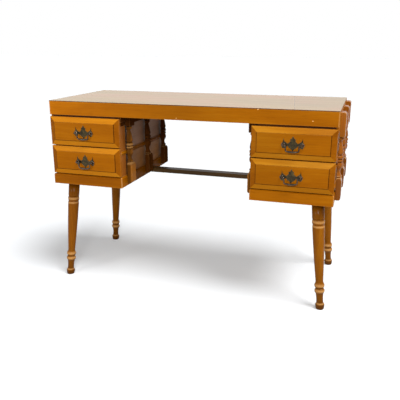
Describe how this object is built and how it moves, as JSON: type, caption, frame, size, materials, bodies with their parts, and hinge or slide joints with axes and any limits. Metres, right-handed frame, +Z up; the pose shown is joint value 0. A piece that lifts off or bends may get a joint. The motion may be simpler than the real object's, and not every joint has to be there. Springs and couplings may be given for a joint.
{
  "type": "double pedestal desk",
  "caption": "Small double pedestal writing desk with bevelled drawers, bail handles, split turned columns and splayed turned legs.",
  "frame": {"origin": "on the floor, under the middle of the desk", "axes": "+X to the right of a person in front of the drawers, +Y to the back, +Z up"},
  "size_m": [1.174, 0.5179, 0.762],
  "materials": {
    "honey_wood": "amber lacquer",
    "inner_wood": "bare wood",
    "dark_wood": "dark worn lacquer",
    "top_laminate": "glossy wood grain",
    "aged_bronze": "darkened",
    "zinc_steel": "plain"
  },
  "bodies": {
    "case": {"top_board": "inner_wood", "top_laminate": "top_laminate", "top_battens": "inner_wood", "wood_screws": "zinc_steel", "stretcher": "dark_wood", "leg_fixings": "zinc_steel", "front_edging": "honey_wood", "rear_edging": "honey_wood", "left_edging": "honey_wood", "right_edging": "honey_wood", "left_outer_side_panel": "honey_wood", "left_inner_side_panel": "honey_wood", "left_base_front_rail": "honey_wood", "left_base_rear_rail": "honey_wood", "left_base_side_rails": "honey_wood", "left_side_mouldings": "honey_wood", "left_outer_columns": "honey_wood", "left_inner_columns": "honey_wood", "left_front_leg": "honey_wood", "left_rear_leg": "honey_wood", "left_back_panel": "inner_wood", "left_floor_board": "inner_wood", "left_top_rails": "inner_wood", "left_drawer_divider": "inner_wood", "left_drawer_runners": "inner_wood", "right_outer_side_panel": "honey_wood", "right_inner_side_panel": "honey_wood", "right_base_front_rail": "honey_wood", "right_base_rear_rail": "honey_wood", "right_base_side_rails": "honey_wood", "right_side_mouldings": "honey_wood", "right_outer_columns": "honey_wood", "right_inner_columns": "honey_wood", "right_front_leg": "honey_wood", "right_rear_leg": "honey_wood", "right_back_panel": "inner_wood", "right_floor_board": "inner_wood", "right_top_rails": "inner_wood", "right_drawer_divider": "inner_wood", "right_drawer_runners": "inner_wood"},
    "left_lower_drawer": {"left_lower_drawer_front": "honey_wood", "left_lower_drawer_box": "inner_wood", "left_lower_handle_plate": "aged_bronze", "left_lower_handle_posts": "aged_bronze"},
    "left_lower_bail": {"left_lower_handle_bail": "aged_bronze"},
    "left_upper_drawer": {"left_upper_drawer_front": "honey_wood", "left_upper_drawer_box": "inner_wood", "left_upper_handle_plate": "aged_bronze", "left_upper_handle_posts": "aged_bronze"},
    "left_upper_bail": {"left_upper_handle_bail": "aged_bronze"},
    "right_lower_drawer": {"right_lower_drawer_front": "honey_wood", "right_lower_drawer_box": "inner_wood", "right_lower_handle_plate": "aged_bronze", "right_lower_handle_posts": "aged_bronze"},
    "right_lower_bail": {"right_lower_handle_bail": "aged_bronze"},
    "right_upper_drawer": {"right_upper_drawer_front": "honey_wood", "right_upper_drawer_box": "inner_wood", "right_upper_handle_plate": "aged_bronze", "right_upper_handle_posts": "aged_bronze"},
    "right_upper_bail": {"right_upper_handle_bail": "aged_bronze"}
  },
  "joints": [
    {"name": "left_lower_drawer_slide", "type": "slide", "parent": "case", "child": "left_lower_drawer", "axis": [0, -1, 0], "range_m": [0, 0.3]},
    {"name": "left_lower_bail_swing", "type": "hinge", "parent": "left_lower_drawer", "child": "left_lower_bail", "pos_m": [-0.4135, -0.2541, 0.521], "axis": [-1, 0, 0], "range_deg": [0, 85]},
    {"name": "left_upper_drawer_slide", "type": "slide", "parent": "case", "child": "left_upper_drawer", "axis": [0, -1, 0], "range_m": [0, 0.3]},
    {"name": "left_upper_bail_swing", "type": "hinge", "parent": "left_upper_drawer", "child": "left_upper_bail", "pos_m": [-0.4135, -0.2541, 0.639], "axis": [-1, 0, 0], "range_deg": [0, 85]},
    {"name": "right_lower_drawer_slide", "type": "slide", "parent": "case", "child": "right_lower_drawer", "axis": [0, -1, 0], "range_m": [0, 0.3]},
    {"name": "right_lower_bail_swing", "type": "hinge", "parent": "right_lower_drawer", "child": "right_lower_bail", "pos_m": [0.4135, -0.2541, 0.521], "axis": [-1, 0, 0], "range_deg": [0, 85]},
    {"name": "right_upper_drawer_slide", "type": "slide", "parent": "case", "child": "right_upper_drawer", "axis": [0, -1, 0], "range_m": [0, 0.3]},
    {"name": "right_upper_bail_swing", "type": "hinge", "parent": "right_upper_drawer", "child": "right_upper_bail", "pos_m": [0.4135, -0.2541, 0.639], "axis": [-1, 0, 0], "range_deg": [0, 85]}
  ]
}
